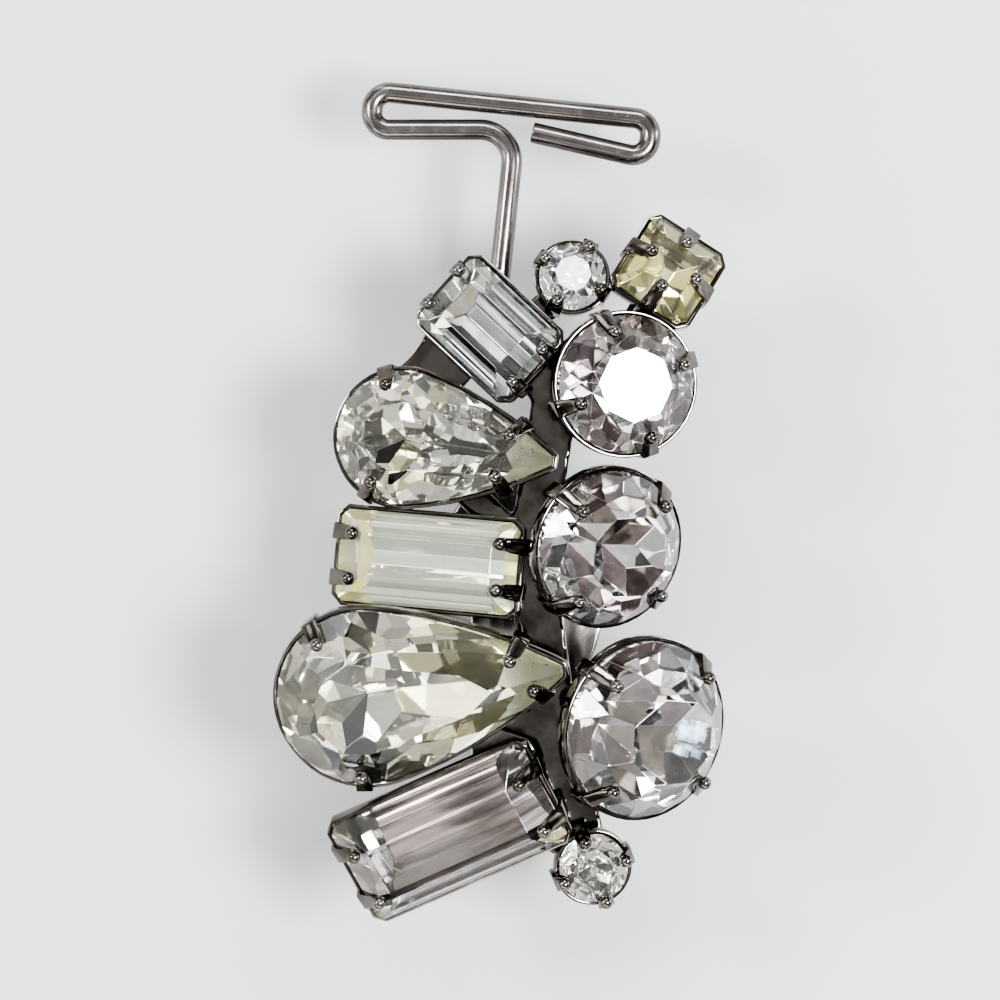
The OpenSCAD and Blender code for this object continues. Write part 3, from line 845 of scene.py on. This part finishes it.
# Clip: paddle, bend and base plate in one strip
clip = {
    "paddleLength": 12, "paddleWidth": 8.4, "thick": 0.8, "width": 4.4, "lobeGap": 4.6, "baseLength": 8,
    "bendAt": 7, "stripBevel": 0.15, "paddleBevel": 0.16, "mergeDistance": 0.001, "smoothAngle": 30,
}


def makeClip():
    startFresh()
    thick, width = clip["thick"], clip["width"]
    bpy.ops.mesh.primitive_plane_add(size=1)
    strip = bpy.context.object
    strip.data.transform(turned(90, "X"))
    strip.data.transform(Matrix.Diagonal((width, 1, thick, 1)))
    strip.data.transform(Matrix.Translation((0, 0, thick / 2)))
    bpy.ops.object.mode_set(mode="EDIT")
    bpy.ops.mesh.select_all(action="SELECT")
    extrude((0, -clip["bendAt"], 0))
    pivot = (0, -clip["bendAt"], thick + clip["lobeGap"] / 2)
    bpy.ops.mesh.spin(steps=24, angle=math.radians(180), center=pivot, axis=(1, 0, 0))
    extrude((0, clip["baseLength"], 0))
    leaveEditMode(clip["mergeDistance"])
    bevelled(strip, clip["stripBevel"], 3, 50)
    bpy.ops.mesh.primitive_cylinder_add(vertices=72, radius=1, depth=thick)
    paddle = bpy.context.object
    paddle.data.transform(Matrix.Translation((0, 0, thick / 2))
                          @ Matrix.Diagonal((clip["paddleWidth"] / 2, clip["paddleLength"] / 2, 1, 1)))
    bevelled(paddle, clip["paddleBevel"], 3, 50)
    union = strip.modifiers.new("weld", "BOOLEAN")
    union.operation = "UNION"
    union.object = paddle
    bpy.context.view_layer.objects.active = strip
    bpy.ops.object.modifier_apply(modifier=union.name)
    bpy.data.objects.remove(paddle)
    named(strip, "clip_strip")
    strip.data.materials.append(metals["clip_metal"])
    place(strip, Matrix.Identity(4))
    smoothed(strip, clip["smoothAngle"])
    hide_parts("clip_back")
    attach(strip, "root")


makeClip()
print("clip bent")

# Floor, light and camera
studio = {
    "floorSize": 3, "floorColor": (0.5, 0.5, 0.505), "floorRoughness": 0.7,
    "aim": (-0.81, 4.66, 9.0), "cameraHeight": 0.25, "lens": 186, "sensor": 36, "clipStart": 0.01,
    "look": "AgX - High Contrast",
}
middle = Vector(studio["aim"]) * mm
eye = Vector((middle.x, middle.y, studio["cameraHeight"]))

startFresh()
bpy.ops.mesh.primitive_plane_add(size=studio["floorSize"], location=(0, 0, 0))
floor = bpy.context.object
floor.name = "floor"
floorPaint = newMaterial("floor_paint", studio["floorColor"], 0.0, studio["floorRoughness"])
floor.data.materials.append(floorPaint)


def skyward(tilt, bearing):
    return toward(bearing, sin(tilt)) + Vector((0, 0, cos(tilt)))


def areaLamp(name, at, way, size, power, color):
    lamp = bpy.data.lights.new(name, "AREA")
    lamp.shape = "RECTANGLE"
    lamp.size, lamp.size_y = size
    lamp.energy = power
    lamp.color = color
    ob = bpy.data.objects.new(name, lamp)
    bpy.context.collection.objects.link(ob)
    ob.location = at
    ob.rotation_euler = way.to_track_quat("Z", "Y").to_euler()


# Soft boxes around the earring, each at a tilt from straight up and a bearing
softboxes = {
    "key": {"tilt": 27, "bearing": -8, "distance": 0.4, "size": (0.12, 0.12), "power": 2.1,
            "color": (1, 1, 1)},
    "left": {"tilt": 44, "bearing": 160, "distance": 0.45, "size": (0.08, 0.08), "power": 1.0,
             "color": (1, 1, 1)},
    "top": {"tilt": 50, "bearing": 85, "distance": 0.5, "size": (0.24, 0.1), "power": 1.0,
            "color": (0.95, 0.97, 1)},
    "front": {"tilt": 62, "bearing": 265, "distance": 0.5, "size": (0.3, 0.12), "power": 0.6,
              "color": (1, 0.97, 0.93)},
    "right": {"tilt": 76, "bearing": 12, "distance": 0.5, "size": (0.06, 0.12), "power": 0.6,
              "color": (0.86, 0.92, 1)},
}
for name, box in softboxes.items():
    way = skyward(box["tilt"], box["bearing"])
    areaLamp(name, middle + way * box["distance"], way, box["size"], box["power"], box["color"])

# Small lamps that the camera sees mirrored in a stone's table, as a patch of
# some mm at a place along and across the way that the stone leans
glints = {
    "lampDistance": 0.15,
    "round_top": {"along": 0, "across": 0, "width": 4.5, "height": 4.5, "strength": 130,
                  "color": (1, 1, 1)},
    "small_top": {"along": 0, "across": 0, "width": 1.8, "height": 1.8, "strength": 34,
                  "color": (0.85, 0.93, 1)},
}
# A cluster of them, each value drawn between two numbers
cluster = {
    "count": 22, "along": (0.3, 1.5), "across": (-0.5, 0.9), "side": (0.25, 0.6), "strength": (4, 16),
    "red": (0.35, 0.85), "green": 0.8, "blue": 1,
}


def tableGlint(name, along, across, width, height, strength, color):
    stone = stones[name]
    seat = Matrix.Translation(stone.middle) @ turned(stone.way, "Z") @ turned(stone.lean, "Y")
    at = (seat @ Vector((along, across, girdleTop + crownHeight(stone)))) * mm
    normal = seat.to_3x3() @ Vector((0, 0, 1))
    view = at - eye
    grow = 1 + glints["lampDistance"] / view.length
    view.normalize()
    way = view - 2 * view.dot(normal) * normal
    size = (width * grow * mm, height * grow * mm)
    power = strength * math.pi * size[0] * size[1]
    areaLamp("glint_" + name, at + way * glints["lampDistance"], way, size, power, color)


tableGlint("round_top", **glints["round_top"])
for k in range(cluster["count"]):
    along = random.uniform(*cluster["along"])
    across = random.uniform(*cluster["across"])
    width = random.uniform(*cluster["side"])
    height = random.uniform(*cluster["side"])
    strength = random.uniform(*cluster["strength"])
    color = (random.uniform(*cluster["red"]), cluster["green"], cluster["blue"])
    tableGlint("round_bottom", along, across, width, height, strength, color)
tableGlint("small_top", **glints["small_top"])

# The room around: soft patches from dark to bright, and over them round zones
# of one colour, each with its tilt, bearing, inner and outer edge
room = {
    "scale": 2.6, "detail": 1.5, "strength": 0.8,
    "stops": [
        (0.30, (0.18, 0.172, 0.165)), (0.42, (0.27, 0.26, 0.25)), (0.45, (0.48, 0.46, 0.43)),
        (0.51, (0.7, 0.7, 0.69)), (0.54, (1.6, 1.6, 1.6)), (0.66, (4.5, 4.5, 4.6)),
    ],
    "zones": [
        (0, 0, 12, 26, (0.7, 0.7, 0.7)), (62, -20, 14, 24, (0.05, 0.045, 0.04)),
        (50, 269, 14, 25, (0.62, 0.55, 0.54)),
    ],
}
world = bpy.data.worlds.new("studio")
bpy.context.scene.world = world
world.use_nodes = True
nodes, links = world.node_tree.nodes, world.node_tree.links
coords = nodes.new("ShaderNodeTexCoord")
patches = nodes.new("ShaderNodeTexNoise")
patches.inputs["Scale"].default_value = room["scale"]
patches.inputs["Detail"].default_value = room["detail"]
ramp = nodes.new("ShaderNodeValToRGB")
ramp.color_ramp.interpolation = "LINEAR"
while len(ramp.color_ramp.elements) < len(room["stops"]):
    ramp.color_ramp.elements.new(0.5)
for element, (where, color) in zip(ramp.color_ramp.elements, room["stops"]):
    element.position = where
    element.color = (*color, 1)
links.new(coords.outputs["Generated"], patches.inputs["Vector"])
links.new(patches.outputs["Fac"], ramp.inputs["Fac"])


def zone(under, tilt, bearing, inner, outer, color):
    dot = nodes.new("ShaderNodeVectorMath")
    dot.operation = "DOT_PRODUCT"
    dot.inputs[1].default_value = skyward(tilt, bearing)
    links.new(coords.outputs["Generated"], dot.inputs[0])
    inside = nodes.new("ShaderNodeMapRange")
    inside.interpolation_type = "SMOOTHSTEP"
    inside.inputs["From Min"].default_value = cos(outer)
    inside.inputs["From Max"].default_value = cos(inner)
    links.new(dot.outputs["Value"], inside.inputs["Value"])
    mix = nodes.new("ShaderNodeMix")
    mix.data_type = "RGBA"
    links.new(inside.outputs[0], mix.inputs["Factor"])
    links.new(under, mix.inputs["A"])
    mix.inputs["B"].default_value = (*color, 1)
    return mix.outputs["Result"]


sky = ramp.outputs["Color"]
for row in room["zones"]:
    sky = zone(sky, *row)
links.new(sky, nodes["Background"].inputs["Color"])
nodes["Background"].inputs["Strength"].default_value = room["strength"]

lens = bpy.data.cameras.new("camera")
lens.lens = studio["lens"]
lens.sensor_width = studio["sensor"]
lens.clip_start = studio["clipStart"]
camera = bpy.data.objects.new("camera", lens)
bpy.context.collection.objects.link(camera)
camera.location = eye
bpy.context.scene.camera = camera
bpy.context.scene.view_settings.look = studio["look"]
print("floor, light and camera set")
